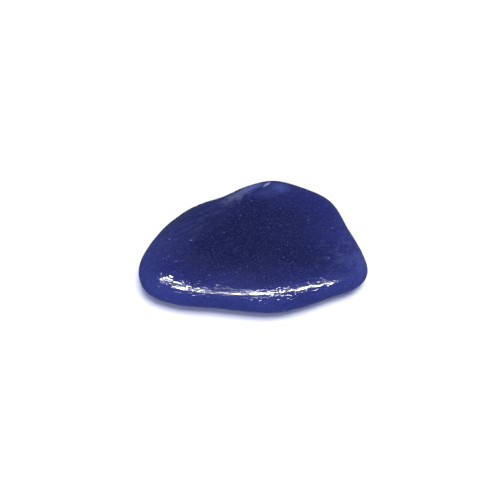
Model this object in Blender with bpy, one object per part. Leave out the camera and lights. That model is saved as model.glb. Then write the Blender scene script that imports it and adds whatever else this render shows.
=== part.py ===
"""Tumbled blue quartz: one flat pebble of deep blue quartz, rounded and polished all over.

The stone lies on its flat underside. Its length runs along X, its width along Y and its
thickness along Z, and the origin is on the underside, below the middle of its box.
All sizes are in metres.
"""
import math

import bmesh
import bpy
import numpy as np

COLLECTION = "blue_quartz"
NODE = "stone"

# Driving dimensions
LENGTH = 0.0360                 # tip to tip, along X
WIDTH = 0.0243                  # front to back, along Y
EDGE_HEIGHT = 0.0023            # the outline's widest line above the underside
SHOULDER_RISE = 0.0022          # from that line to where the rim runs into the top
TOP_FALL = 0.0002               # how much lower than the middle the top is at the right tip
CROWN = 0.0006                  # how far the top swells above its rim in the middle

# Bends of the outline seen from above, anticlockwise from the right tip,
# as shares of half the length and half the width
OUTLINE = [
    (0.99, -0.38), (0.945, -0.12), (0.85, 0.21), (0.72, 0.64), (0.465, 0.875),
    (0.19, 1.00), (-0.08, 0.90), (-0.29, 0.73), (-0.565, 0.545), (-0.80, 0.235),
    (-0.95, -0.13), (-1.00, -0.43), (-0.915, -0.72), (-0.67, -0.88), (-0.31, -0.935),
    (0.12, -1.00), (0.39, -0.93), (0.65, -0.785), (0.86, -0.67), (0.965, -0.53),
]

# How far the rounded rim reaches in from the outline, by bearing from the middle in degrees.
# It is broad where a tip or the front's bulge was worn down, and at the bevel on the back edge,
# and narrow where the outline is a little hollow.
RIM_REACH = [
    (-12, 0.0029), (10, 0.0030), (45, 0.0028), (80, 0.0027), (113, 0.0038), (145, 0.0034),
    (180, 0.0044), (203, 0.0043), (212, 0.0053), (222, 0.0028), (245, 0.0017), (268, 0.0033),
    (290, 0.0042), (310, 0.0032), (330, 0.0016),
]
UNDER_REACH = 0.0025            # how far the rim under the stone reaches in

# Slow swells of the polished top: height, length of the wave, its bearing and its phase
SWELLS = [
    (0.00010, 0.017, math.radians(25), 0.6),
    (0.00007, 0.011, math.radians(110), 2.1),
    (0.00004, 0.007, math.radians(-40), 4.0),
]

# Mesh
SEGMENTS = 96                   # around the stone
RIM_RINGS = 10                  # from the edge line to the rim's inner end
CAP_RINGS = 6                   # from there to the middle
CURVE_STEPS = 24                # points of a closed curve from one bend to the next
BEARINGS = 720                  # even bearings at which radii are kept
ROUNDING_PASSES = 40            # how often neighbouring radii are averaged
RIM_POWER = 2.5                 # 2 is an ellipse; more gives a flatter shoulder

COLOUR = (0.022, 0.028, 0.135, 1.0)
ROUGHNESS = 0.12

EVEN_BEARINGS = np.linspace(0.0, math.tau, BEARINGS, endpoint=False)


def closed_curve(points):
    """A closed Catmull-Rom curve through the points."""
    before, start, end, after = (np.roll(points, shift, axis=0)[:, None] for shift in (1, 0, -1, -2))
    t = np.linspace(0.0, 1.0, CURVE_STEPS, endpoint=False)[None, :, None]
    curve = 0.5 * (
        2 * start
        + (end - before) * t
        + (2 * before - 5 * start + 4 * end - after) * t ** 2
        + (3 * start - before - 3 * end + after) * t ** 3
    )
    return curve.reshape(-1, 2)


def radii_around(points):
    """How far the closed curve through the points is from the middle, at even bearings,
    with its bends rounded off."""
    bearing = np.arctan2(points[:, 1], points[:, 0])
    radii = np.interp(EVEN_BEARINGS, bearing, np.hypot(points[:, 0], points[:, 1]), period=math.tau)
    for _ in range(ROUNDING_PASSES):
        radii = (np.roll(radii, 1) + 2 * radii + np.roll(radii, -1)) / 4
    return radii


def outline_radii():
    """The outline's distance from the middle."""
    return radii_around(closed_curve(np.array(OUTLINE) * (LENGTH / 2, WIDTH / 2)))


def rim_reaches():
    """The rim's reach, square to the outline."""
    bearing, reach = np.array(RIM_REACH).T
    turn = np.radians(bearing)
    return radii_around(closed_curve(np.column_stack((reach * np.cos(turn), reach * np.sin(turn)))))


def around(bearing, values):
    """Reads values kept at even bearings at other bearings."""
    return np.interp(bearing, EVEN_BEARINGS, values, period=math.tau)


def swell(x, y):
    """The height of the slow swells at a place on the top."""
    height = np.zeros_like(x)
    for size, length, bearing, phase in SWELLS:
        along = x * math.cos(bearing) + y * math.sin(bearing)
        height += size * np.cos(math.tau * along / length + phase)
    return height


def stone_points(bearing, level):
    """Points of the surface. The level is 0 on the edge line, 1 in the middle of the top
    and -1 in the middle of the underside."""
    radii = outline_radii()
    slopes = (np.roll(radii, -1) - np.roll(radii, 1)) / (EVEN_BEARINGS[2] - EVEN_BEARINGS[0])
    slant = np.hypot(1.0, slopes / radii)
    radius = around(bearing, radii)
    top = level > 0
    reach = np.where(top, around(bearing, rim_reaches() * slant), UNDER_REACH * around(bearing, slant))

    rim_share = RIM_RINGS / (RIM_RINGS + CAP_RINGS)
    rise = np.minimum(np.abs(level) / rim_share, 1.0) * math.pi / 2
    inward = 1.0 - np.cos(rise).clip(0) ** (2 / RIM_POWER)
    cap = ((1.0 - np.abs(level)) / (1.0 - rim_share)).clip(0, 1)
    distance = (radius - reach * inward) * cap
    x, y = distance * np.cos(bearing), distance * np.sin(bearing)

    inside = 1.0 - (distance / radius) ** 2
    shoulder = SHOULDER_RISE - TOP_FALL * x / (LENGTH / 2)
    above = EDGE_HEIGHT + shoulder * np.sin(rise) + (CROWN + swell(x, y)) * inside
    below = EDGE_HEIGHT * (1.0 - np.sin(rise))
    return x, y, np.where(top, above, below)


def fitted(points):
    """The points, centred and brought to the stone's exact length and width."""
    low, high = points.min(axis=0)[:2], points.max(axis=0)[:2]
    points[:, :2] = (points[:, :2] - (low + high) / 2) * ((LENGTH, WIDTH) / (high - low))
    return points


def add_stone(collection):
    """A UV sphere whose rings are moved to the stone's surface."""
    rings = RIM_RINGS + CAP_RINGS
    bpy.ops.mesh.primitive_uv_sphere_add(segments=SEGMENTS, ring_count=2 * rings, radius=1.0)
    stone = bpy.context.object
    stone.name = NODE
    stone.data.name = NODE
    for owner in list(stone.users_collection):
        owner.objects.unlink(stone)
    collection.objects.link(stone)
    sphere = np.empty(len(stone.data.vertices) * 3)
    stone.data.vertices.foreach_get("co", sphere)
    sphere = sphere.reshape(-1, 3)
    bearing = np.arctan2(sphere[:, 1], sphere[:, 0]) % math.tau
    level = np.arcsin(sphere[:, 2].clip(-1, 1)) / (math.pi / 2)
    level = np.round(level * rings) / rings
    moved = fitted(np.column_stack(stone_points(bearing, level)))
    stone.data.vertices.foreach_set("co", moved.ravel())
    stone.data.update()
    join_underside(stone.data)
    stone.data.shade_smooth()
    return stone


def join_underside(mesh):
    """Makes the flat core of the underside one face."""
    edit = bmesh.new()
    edit.from_mesh(mesh)
    flat = [face for face in edit.faces if max(corner.co.z for corner in face.verts) == 0]
    bmesh.ops.dissolve_faces(edit, faces=flat)
    edit.to_mesh(mesh)
    edit.free()


def quartz():
    """Polished blue quartz."""
    material = bpy.data.materials.new("blue_quartz")
    material.use_nodes = True
    shader = material.node_tree.nodes["Principled BSDF"]
    shader.inputs["Base Color"].default_value = COLOUR
    shader.inputs["Roughness"].default_value = ROUGHNESS
    shader.inputs["Metallic"].default_value = 0.0
    return material


def main():
    for old in list(bpy.data.objects):
        bpy.data.objects.remove(old, do_unlink=True)
    collection = bpy.data.collections.new(COLLECTION)
    bpy.context.scene.collection.children.link(collection)
    stone = add_stone(collection)
    stone.data.materials.append(quartz())


main()
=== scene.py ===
"""The looks of the tumbled blue quartz: its polished surface, its colour and grain, the floor,
the light and the camera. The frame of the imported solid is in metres; lengths whose names or
comments say mm are in millimetres of the same frame."""
import math

import bmesh
import bpy
import numpy as np
from mathutils import Matrix, Vector


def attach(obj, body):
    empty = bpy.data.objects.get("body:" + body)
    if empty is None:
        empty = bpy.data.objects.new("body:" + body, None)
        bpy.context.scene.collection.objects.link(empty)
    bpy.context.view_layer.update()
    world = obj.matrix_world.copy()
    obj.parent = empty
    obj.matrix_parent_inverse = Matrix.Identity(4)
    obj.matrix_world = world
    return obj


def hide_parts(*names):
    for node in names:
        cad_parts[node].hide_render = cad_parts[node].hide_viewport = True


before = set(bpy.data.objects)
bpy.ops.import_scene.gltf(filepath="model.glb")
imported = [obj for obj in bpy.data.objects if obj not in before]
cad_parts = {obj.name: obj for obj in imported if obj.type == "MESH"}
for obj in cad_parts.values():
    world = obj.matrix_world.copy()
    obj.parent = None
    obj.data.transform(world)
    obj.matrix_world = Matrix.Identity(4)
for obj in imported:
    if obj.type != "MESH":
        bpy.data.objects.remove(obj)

MM = 0.001
NODE = "stone"

# The camera looks along +Y, down on the stone
CAMERA_ELEVATION = math.radians(58.5)
CAMERA_DISTANCE = 0.1052
CAMERA_AIM = Vector((-0.0005, -0.0015, 0.0028))
CAMERA_NEAR = 0.005
CAMERA_LENS = 47.5              # mm, like the sensor's width
SENSOR_WIDTH = 36.0

# The fine mesh
WELD = 0.001                    # mm; corners of the solid nearer than this are joined
ROUNDING_LEVELS = 3             # how often the solid's faces are halved to round them
ROUNDING_PASSES = 5             # how often the rounded surface is brought back to its points
VOXEL = 0.33                    # mm
SMOOTHING = 10
LAST_SMOOTHING = 2
SECTORS = 180                   # around the stone, in which the outline is found

# The grain of the quartz runs this way, seen from above
GRAIN = math.radians(22)

# Relief of the polished surface: height in mm, number of waves, shortest and longest in mm,
# and how much longer the waves are along the grain
RELIEF = [
    (0.008, 24, 2.4, 4.5, 1.0),
    (0.0015, 70, 0.8, 1.5, 1.5),
]
RELIEF_FROM = 0.3               # mm above the ground, where the relief reaches its full height

# Coordinates that follow the rim: the radius of their circle around the stone, and how far
# they run from the middle to the outline
FLOW_RADIUS = 14.0
FLOW_REACH = 13.0

# Colours of the quartz
NAVY = (0.0044, 0.0064, 0.0445, 1)         # deep in the middle
BLUE = (0.0104, 0.0142, 0.093, 1)
ROYAL = (0.0250, 0.0330, 0.155, 1)         # at the thin edge, as painted light coming through it
GLOW = (0.0400, 0.0500, 0.215, 1)          # where light comes through it
BACK_EDGE_SHADE = (0.0125, 0.0175, 0.047, 1)          # painted shade: grey blue of the back edge
BEVEL_REFLECTION_LILAC = (0.0930, 0.1070, 0.295, 1)         # pale lilac on the bevel at the back: painted reflection
HAZE = (0.0540, 0.0740, 0.250, 1)          # pale blue beside the bevel, there part of its painted reflection, and at the right tip
MILK = (0.085, 0.097, 0.185, 1)            # pale veils, streaks and flecks
BEVEL_GLINT = (0.260, 0.300, 0.520, 1)            # painted glint: small bright spot on the bevel
SPECK = (0.150, 0.175, 0.360, 1)

# Patterns in the quartz: length along the grain, width and depth of their cells in mm
CLOUDS = (5.0, 3.0, 4.0)
MOTTLE = (0.8, 0.55, 0.6)
STREAKS = (5.0, 0.50, 0.9)
CURDS = (1.5, 0.7, 0.9)
FLECKS = (0.42, 0.20, 0.24)
RAGS = (0.9, 0.5, 0.7)          # of the ragged edges of the veils
STREAK_TURN = math.radians(29)

# Patterns in the polish; the steps and lanes are counted in the coordinates along the rim
WEAR = (0.8, 0.5, 0.6)
RIPPLE = (0.80, 0.55, 0.60)
STEPS = (1.4, 1.4, 0.28)
STEPS_START = (7.0, 0.0, 0.0)
LANES = (1.8, 1.8, 0.30)
BUMP_DEPTH = 0.072              # mm

# Veils in the quartz, and patches of painted light, shade and reflection: centre in mm, turn in
# degrees, half sizes in mm, raggedness of the edge, colour and how much of it shows
VEILS = [
    # Painted shade over the back left edge
    ((-10.0, 6.0, 4.0), 36, (12.0, 4.0, 4.0), 0.6, BACK_EDGE_SHADE, 0.70),
    # Painted light coming through the front rim, at its left and at its right
    ((-13.5, -9.0, 3.0), -22, (6.5, 2.6, 3.0), 0.5, GLOW, 0.45),
    ((11.5, -8.5, 3.0), 14, (6.0, 2.0, 3.0), 0.5, GLOW, 0.10),
    ((7.0, -10.0, 3.2), 15, (4.6, 2.4, 3.5), 0.6, BLUE, 0.65),
    ((16.8, -4.6, 3.4), 75, (4.6, 2.6, 3.0), 1.4, HAZE, 0.55),
    # Pale veils at the left: milky quartz, and painted sheen above the highlight's left part
    ((-10.0, -4.2, 4.4), -10, (7.0, 2.6, 3.0), 0.8, MILK, 0.06),
    ((-13.0, -1.0, 4.4), 22, (7.0, 4.5, 3.0), 1.0, MILK, 0.06),
    ((-11.5, 0.5, 4.4), 20, (7.0, 5.0, 3.0), 0.6, NAVY, 0.16),
    ((7.5, 1.5, 4.4), 10, (8.0, 6.5, 3.0), 0.7, ROYAL, 0.12),
    ((5.0, 7.0, 4.4), -5, (6.0, 3.0, 3.0), 0.8, ROYAL, 0.22),
    ((14.2, -4.2, 4.4), 15, (2.8, 1.4, 1.5), 1.0, MILK, 0.16),
    # The pale patch along the back edge and its bevel: painted reflection, with a painted glint
    ((4.5, 9.6, 4.4), -8, (2.5, 1.6, 2.0), 0.8, HAZE, 0.70),
    ((2.4, 8.4, 4.5), 12, (3.8, 1.6, 2.0), 1.1, HAZE, 0.30),
    ((-0.6, 9.4, 4.3), 33, (4.2, 1.15, 2.0), 0.6, BEVEL_REFLECTION_LILAC, 0.95),
    ((-3.0, 7.7, 4.6), 30, (3.6, 1.70, 2.0), 1.3, MILK, 0.85),
    ((2.3, 10.2, 4.4), 44, (1.25, 0.42, 0.8), 0.3, BEVEL_GLINT, 1.0),
]

# Light specks: turn of their cells, the size of a cell in mm, and how far a speck reaches
# from its point, as a share of the cell
SPECKS = [
    (0.3, (0.85, 0.85, 0.85), 0.13),
    (1.0, (0.42, 0.42, 0.42), 0.16),
    (GRAIN, (3.12, 0.96, 0.96), 0.10),
]

FLOOR_SIZE = 4.0
FLOOR_COLOUR = (0.86, 0.86, 0.86, 1)

# The dim studio, which is brightest around the windows that the polish mirrors
STUDIO_COLOUR = (0.52, 0.58, 1.0, 1)
STUDIO_BRIGHTEST = (-0.035, -0.17, 0.98)
STUDIO_REACH = math.radians(42)
STUDIO_DIM = 0.22
STUDIO_BRIGHT = 0.50


def vertex_rows(mesh, kind):
    """The mesh's points, "co", or its normals, "normal"."""
    rows = np.empty(len(mesh.vertices) * 3)
    mesh.vertices.foreach_get(kind, rows)
    return rows.reshape(-1, 3)


def set_points(mesh, points):
    mesh.vertices.foreach_set("co", points.astype(np.float32).ravel())
    mesh.update()


def fit_box(points, low, high):
    """The points, stretched to the box from low to high."""
    own_low, own_high = points.min(axis=0), points.max(axis=0)
    return (points - own_low) / (own_high - own_low) * (high - low) + low


def even_mesh(solid):
    """The solid's surface in even, small faces without its facets, in mm."""
    smooth = bpy.data.objects.new("smooth", quads(solid))
    bpy.context.scene.collection.objects.link(smooth)
    rounded = smooth.modifiers.new("rounded", "SUBSURF")
    rounded.levels = ROUNDING_LEVELS
    through_points(smooth)
    even = bpy.data.objects.new("even", smooth.data)
    bpy.context.scene.collection.objects.link(even)
    remesh = even.modifiers.new("even_faces", "REMESH")
    remesh.mode = "VOXEL"
    remesh.voxel_size = VOXEL
    relax = even.modifiers.new("relax", "SMOOTH")
    relax.iterations = SMOOTHING
    finer = even.modifiers.new("finer", "SUBSURF")
    finer.levels = 1
    back = even.modifiers.new("back_to_surface", "SHRINKWRAP")
    back.target = smooth
    last = even.modifiers.new("last_relax", "SMOOTH")
    last.iterations = LAST_SMOOTHING
    made = evaluated_mesh(even)
    for guide in (even, smooth):
        bpy.data.objects.remove(guide)
    return made


def evaluated_mesh(made):
    graph = bpy.context.evaluated_depsgraph_get()
    return bpy.data.meshes.new_from_object(made.evaluated_get(graph))


def through_points(smooth):
    """Moves the points above the flat underside so that the rounded surface runs through where
    they were."""
    wanted = vertex_rows(smooth.data, "co")
    moving = wanted[:, 2:] > 0
    for _ in range(ROUNDING_PASSES):
        rounded = evaluated_mesh(smooth)
        reached = vertex_rows(rounded, "co")[:len(wanted)]
        bpy.data.meshes.remove(rounded)
        set_points(smooth.data, vertex_rows(smooth.data, "co") + (wanted - reached) * moving)


def quads(solid):
    """The solid's triangles joined back to quads, in mm."""
    mesh = solid.copy()
    edit = bmesh.new()
    edit.from_mesh(mesh)
    bmesh.ops.remove_doubles(edit, verts=edit.verts, dist=WELD * MM)
    bmesh.ops.join_triangles(
        edit, faces=edit.faces, angle_face_threshold=math.pi, angle_shape_threshold=math.pi)
    bmesh.ops.scale(edit, vec=(1 / MM,) * 3, verts=edit.verts)
    edit.to_mesh(mesh)
    edit.free()
    return mesh


def waves(points, count, shortest, longest, stretch, seed):
    """A sum of random waves at the points, about 1 high."""
    draw = np.random.default_rng(seed)
    ways = draw.normal(size=(count, 3))
    ways /= np.linalg.norm(ways, axis=1)[:, None]
    ways *= (math.tau / draw.uniform(shortest, longest, count))[:, None]
    along = np.array((math.cos(GRAIN), math.sin(GRAIN), 0.0))
    ways -= np.outer(ways @ along, along) * (1 - 1 / stretch)
    phases = draw.uniform(0, math.tau, count)
    field = np.zeros(len(points))
    for way, phase in zip(ways, phases):
        field += np.cos(points @ way + phase)
    return field / math.sqrt(count / 2)


def add_relief(mesh, low, high):
    """Moves the mesh's points, in mm, by the relief, and brings them to the box from low to
    high in metres. Gives the moved points in mm."""
    points = fit_box(vertex_rows(mesh, "co"), low, high)
    set_points(mesh, points)
    relief = np.zeros(len(points))
    for seed, (height, count, shortest, longest, stretch) in enumerate(RELIEF):
        relief += height * waves(points, count, shortest, longest, stretch, seed)
    off_ground = (points[:, 2] / RELIEF_FROM).clip(0, 1)
    moved = points + vertex_rows(mesh, "normal") * (relief * off_ground)[:, None]
    set_points(mesh, fit_box(moved, low, high) * MM)
    return moved


def rim_share(bearing, distance):
    """0 in the middle of the stone, seen from above, and 1 at its outline."""
    sector = ((bearing / math.tau % 1.0) * SECTORS).astype(int) % SECTORS
    outline = np.zeros(SECTORS)
    np.maximum.at(outline, sector, distance)
    middles = (np.arange(SECTORS) + 0.5) / SECTORS * math.tau
    return (distance / np.interp(bearing % math.tau, middles, outline, period=math.tau)).clip(0, 1)


def add_rim_values(mesh, points):
    """Keeps each point's share of the way to the rim, and its coordinates along the rim."""
    bearing = np.arctan2(points[:, 1], points[:, 0])
    share = rim_share(bearing, np.hypot(points[:, 0], points[:, 1]))
    flow = np.column_stack((
        np.cos(bearing) * FLOW_RADIUS, np.sin(bearing) * FLOW_RADIUS, share * FLOW_REACH))
    rims = mesh.attributes.new("rim", "FLOAT", "POINT")
    rims.data.foreach_set("value", share.astype(np.float32))
    flows = mesh.attributes.new("flow", "FLOAT_VECTOR", "POINT")
    flows.data.foreach_set("vector", flow.astype(np.float32).ravel())


def make_stone():
    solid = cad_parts[NODE].data
    box = vertex_rows(solid, "co") / MM
    mesh = even_mesh(solid)
    moved = add_relief(mesh, box.min(axis=0), box.max(axis=0))
    add_rim_values(mesh, moved)
    stone = bpy.data.objects.new("polished_stone", mesh)
    bpy.context.scene.collection.objects.link(stone)
    mesh.shade_smooth()
    mesh.materials.clear()
    mesh.materials.append(quartz())
    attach(stone, "root")
    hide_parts(NODE)


class Nodes:
    """Makes the nodes of one material. Every method gives the new node's output."""

    def __init__(self, material):
        material.use_nodes = True
        self.tree = material.node_tree
        self.shader = self.tree.nodes["Principled BSDF"]

    def add(self, kind, output=0, inputs=(), **settings):
        node = self.tree.nodes.new(kind)
        for name, value in settings.items():
            setattr(node, name, value)
        for name, value in dict(inputs).items():
            self.put(node.inputs[name], value)
        return node.outputs[output]

    def put(self, socket, value):
        if isinstance(value, bpy.types.NodeSocket):
            self.tree.links.new(value, socket)
        else:
            socket.default_value = value

    def place(self, turn=0.0, size=(1, 1, 1), centre=(0, 0, 0)):
        """Coordinates in units of size (mm) from the centre (mm), along axes turned about Z."""
        here = self.add("ShaderNodeTexCoord", output="Object")
        return self.add("ShaderNodeMapping", vector_type="TEXTURE", inputs={
            "Vector": here, "Rotation": (0, 0, turn),
            "Location": tuple(c * MM for c in centre), "Scale": tuple(s * MM for s in size)})

    def noise(self, place, detail=2.0, roughness=0.5):
        return self.add("ShaderNodeTexNoise", inputs={
            "Vector": place, "Scale": 1.0, "Detail": detail, "Roughness": roughness})

    def maths(self, operation, first, second=0.0, third=0.0, clamp=False):
        return self.add("ShaderNodeMath", operation=operation, use_clamp=clamp,
                        inputs={0: first, 1: second, 2: third})

    def fade(self, value, start, end, top=1.0):
        """0 up to start and top from end, smoothly between; start may be above end."""
        return self.add("ShaderNodeMapRange", interpolation_type="SMOOTHSTEP", inputs={
            "Value": value, "From Min": start, "From Max": end, "To Min": 0.0, "To Max": top})

    def mix(self, share, first, second):
        """The first colour, with a share of the second; 6 and 7 are the colours' sockets."""
        return self.add("ShaderNodeMix", data_type="RGBA", output=2, inputs={
            0: share, 6: first, 7: second})

    def bright(self, colour, value):
        """The colour times a value."""
        return self.add(
            "ShaderNodeVectorMath", operation="SCALE", inputs={0: colour, "Scale": value})

    def veil(self, centre, turn, size, raggedness, seed):
        """A soft patch with a ragged edge: 1 in its middle and 0 outside."""
        place = self.place(turn, size, centre)
        rags = self.noise(self.place(turn, RAGS, (seed, seed, seed)), detail=3.0)
        distance = self.add(
            "ShaderNodeVectorMath", operation="LENGTH", output="Value", inputs={0: place})
        ragged = self.maths("MULTIPLY_ADD", rags, raggedness, distance)
        return self.fade(ragged, 1.0 + raggedness / 2, raggedness / 2)


def rim_lit_depth_colour(nodes, rim, back):
    """Navy in the thick middle and royal blue at the thin rim, as painted light coming through it,
    most of all in front where the light falls, with clouds between them."""
    clouds = nodes.noise(nodes.place(GRAIN, CLOUDS), detail=2.0)
    # Painted light: the thinner the rim, the more light shows through it
    thin = nodes.maths("POWER", rim, 3.0)
    # Painted light: the rim is brighter still in front, where the light falls
    depth = nodes.maths("MULTIPLY", thin, nodes.fade(back, 9.0, -3.0, top=0.3))
    depth = nodes.maths("MULTIPLY_ADD", thin, 0.7, depth)
    clouds = nodes.maths("MULTIPLY_ADD", clouds, 0.36, -0.18)
    depth = nodes.maths("ADD", depth, clouds, clamp=True)
    colour = nodes.mix(nodes.fade(depth, 0.0, 0.45), NAVY, BLUE)
    return nodes.mix(nodes.fade(depth, 0.3, 1.0), colour, ROYAL)


def milky(nodes, colour):
    """The colour with its mottle, the pale streaks at the back left and the curds at the
    right tip."""
    mottle = nodes.noise(nodes.place(GRAIN, MOTTLE), detail=3.0, roughness=0.65)
    colour = nodes.bright(colour, nodes.maths("MULTIPLY_ADD", mottle, 0.8, 0.60))
    streaks = nodes.noise(nodes.place(STREAK_TURN, STREAKS), detail=2.0, roughness=0.55)
    streaked = nodes.veil((-11.0, 2.5, 4.4), math.radians(32), (11.0, 6.0, 4.0), 0.8, seed=3.0)
    streaks = nodes.maths("MULTIPLY", nodes.fade(streaks, 0.44, 0.70, top=0.26), streaked)
    colour = nodes.mix(streaks, colour, MILK)
    curds = nodes.noise(nodes.place(GRAIN, CURDS), detail=3.0, roughness=0.65)
    curdled = nodes.veil((13.5, -3.0, 4.2), math.radians(-20), (5.0, 8.0, 4.0), 0.6, seed=7.0)
    curds = nodes.maths("MULTIPLY", nodes.fade(curds, 0.46, 0.68, top=0.30), curdled)
    return nodes.mix(curds, colour, MILK)


def veiled(nodes, colour):
    """The colour with the placed veils over it."""
    for centre, turn, size, raggedness, colour_there, share in VEILS:
        veil = nodes.veil(centre, math.radians(turn), size, raggedness, seed=centre[0])
        colour = nodes.mix(nodes.maths("MULTIPLY", veil, share), colour, colour_there)
    return colour


def speckled(nodes, colour):
    """The colour with fine flecks along the grain and light specks, few of them bright."""
    flecks = nodes.noise(nodes.place(GRAIN, FLECKS), detail=2.0, roughness=0.7)
    colour = nodes.bright(colour, nodes.maths("MULTIPLY_ADD", flecks, 0.2, 0.90))
    colour = nodes.mix(nodes.fade(flecks, 0.44, 0.72, top=0.18), colour, MILK)
    for turn, cell, reach in SPECKS:
        distance = nodes.add("ShaderNodeTexVoronoi", output="Distance", inputs={
            "Vector": nodes.place(turn, cell), "Scale": 1.0})
        chance = nodes.add(
            "ShaderNodeSeparateColor", inputs={0: distance.node.outputs["Color"]})
        chance = nodes.maths("POWER", chance, 3.0)
        spot = nodes.maths("MULTIPLY", nodes.fade(distance, reach, reach * 0.5), chance)
        colour = nodes.mix(spot, colour, SPECK)
    return colour


def polish_bump(nodes, rim, along, back):
    """The normal of the polish: a faint ripple, and along the front rim the fine steps and
    lanes that split its highlight into strands."""
    flow = nodes.add("ShaderNodeAttribute", output="Vector", attribute_name="flow")
    steps = nodes.add("ShaderNodeMapping", vector_type="TEXTURE", inputs={
        "Vector": flow, "Scale": STEPS, "Location": STEPS_START})
    steps = nodes.fade(nodes.noise(steps, detail=1.0), 0.47, 0.57, top=0.45)
    lanes = nodes.add("ShaderNodeMapping", vector_type="TEXTURE", inputs={
        "Vector": flow, "Scale": LANES})
    lanes = nodes.noise(lanes, detail=0.8, roughness=0.6)
    worn = nodes.veil((-9.0, -9.4, 4.4), math.radians(-14), (7.5, 3.0, 4.0), 0.5, seed=5.0)
    strands = nodes.maths("ADD", steps, lanes)
    for share in (
            nodes.maths("MULTIPLY_ADD", worn, 0.50, 0.50),
            nodes.fade(rim, 0.75, 0.83),
            nodes.fade(along, -15.1, -14.1),
            nodes.fade(back, 0.0, -5.0),
    ):
        strands = nodes.maths("MULTIPLY", strands, share)
    ripple = nodes.noise(nodes.place(GRAIN, RIPPLE), detail=1.5, roughness=0.45)
    height = nodes.maths("MULTIPLY_ADD", ripple, 0.06, strands)
    return nodes.add("ShaderNodeBump", inputs={
        "Height": height, "Distance": BUMP_DEPTH * MM, "Strength": 1.0})


def quartz():
    """Deep blue quartz, darkest where the stone is thick, with painted light through its thin rim,
    milky veils, faint grain, light specks, and painted shade and reflection at its back edge,
    under a polish that is a little uneven."""
    material = bpy.data.materials.new("blue_quartz")
    nodes = Nodes(material)
    rim = nodes.add("ShaderNodeAttribute", output="Fac", attribute_name="rim")
    back = nodes.add("ShaderNodeSeparateXYZ", output="Y", inputs={"Vector": nodes.place()})
    along = back.node.outputs["X"]

    colour = rim_lit_depth_colour(nodes, rim, back)
    for cover in (milky, veiled, speckled):
        colour = cover(nodes, colour)
    nodes.put(nodes.shader.inputs["Base Color"], colour)

    wear = nodes.noise(nodes.place(GRAIN, WEAR), detail=4.0, roughness=0.65)
    nodes.put(nodes.shader.inputs["Roughness"], nodes.maths("MULTIPLY_ADD", wear, 0.12, 0.02))
    nodes.put(nodes.shader.inputs["Normal"], polish_bump(nodes, rim, along, back))
    nodes.shader.inputs["IOR"].default_value = 1.54
    return material


def make_floor():
    bpy.ops.mesh.primitive_plane_add(size=FLOOR_SIZE)
    floor = bpy.context.object
    floor.name = "floor"
    material = bpy.data.materials.new("floor")
    nodes = Nodes(material)
    nodes.shader.inputs["Base Color"].default_value = FLOOR_COLOUR
    nodes.shader.inputs["Roughness"].default_value = 1.0
    nodes.shader.inputs["Specular IOR Level"].default_value = 0.0
    floor.data.materials.append(material)
    floor.visible_glossy = False


def area_light(name, toward, distance, size, radiance, colour=(1, 1, 1), mirrored=False, turn=0.0):
    """A rectangular light that faces the stone from the way `toward` points, its first side
    square to Y before it is turned about that way. A mirrored light is only seen as a
    reflection in the polish, and the others only light what they fall on."""
    away = Vector(toward).normalized()
    side = Matrix.Rotation(turn, 3, away) @ Vector((0, 1, 0)).cross(away).normalized()
    data = bpy.data.lights.new(name, "AREA")
    data.shape = "RECTANGLE"
    data.size, data.size_y = size
    data.energy = radiance * math.pi * size[0] * size[1]
    data.color = colour
    light = bpy.data.objects.new(name, data)
    light.location = away * distance
    light.rotation_euler = Matrix((side, away.cross(side), away)).transposed().to_euler()
    light.visible_glossy = mirrored
    light.visible_diffuse = not mirrored
    bpy.context.scene.collection.objects.link(light)


def light_scene():
    area_light("window", toward=(-0.018, -0.17, 0.98), distance=0.50, size=(0.400, 0.034),
               radiance=130.0, mirrored=True)
    area_light("window_side", toward=(-0.357, 0.00, 0.98), distance=0.55, size=(0.016, 0.205),
               radiance=110.0, mirrored=True, turn=math.radians(-38))
    area_light("window_frame", toward=(-0.045, -0.15, 0.98), distance=0.55, size=(0.49, 0.13),
               radiance=2.5, mirrored=True)
    area_light("top_soft", toward=(0.15, 0.08, 0.97), distance=0.60, size=(0.36, 0.32),
               radiance=11.8)
    area_light("front_soft", toward=(-0.10, -0.90, 0.42), distance=0.60, size=(0.70, 0.25),
               radiance=3.9, colour=(0.54, 0.59, 1.0))


def make_studio():
    """The world's dim light, as strong as its way is near the brightest one."""
    world = bpy.data.worlds.new("studio")
    world.use_nodes = True
    background = world.node_tree.nodes["Background"]
    background.inputs["Color"].default_value = STUDIO_COLOUR
    links = world.node_tree.links
    way = world.node_tree.nodes.new("ShaderNodeTexCoord")
    near = world.node_tree.nodes.new("ShaderNodeVectorMath")
    near.operation = "DOT_PRODUCT"
    near.inputs[1].default_value = Vector(STUDIO_BRIGHTEST).normalized()
    glow = world.node_tree.nodes.new("ShaderNodeMapRange")
    glow.interpolation_type = "SMOOTHSTEP"
    glow.inputs["From Min"].default_value = math.cos(STUDIO_REACH)
    glow.inputs["From Max"].default_value = 1.0
    glow.inputs["To Min"].default_value = STUDIO_DIM
    glow.inputs["To Max"].default_value = STUDIO_BRIGHT
    links.new(way.outputs["Generated"], near.inputs[0])
    links.new(near.outputs["Value"], glow.inputs["Value"])
    links.new(glow.outputs["Result"], background.inputs["Strength"])
    bpy.context.scene.world = world
    bpy.context.scene.view_settings.view_transform = "Standard"


def make_camera():
    data = bpy.data.cameras.new("camera")
    data.lens = CAMERA_LENS
    data.sensor_width = SENSOR_WIDTH
    data.clip_start = CAMERA_NEAR
    camera = bpy.data.objects.new("camera", data)
    back = Vector((0, -math.cos(CAMERA_ELEVATION), math.sin(CAMERA_ELEVATION)))
    camera.location = CAMERA_AIM + back * CAMERA_DISTANCE
    camera.rotation_euler = back.to_track_quat("Z", "Y").to_euler()
    bpy.context.scene.collection.objects.link(camera)
    bpy.context.scene.camera = camera


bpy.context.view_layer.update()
make_camera()
light_scene()
make_studio()
make_floor()
make_stone()
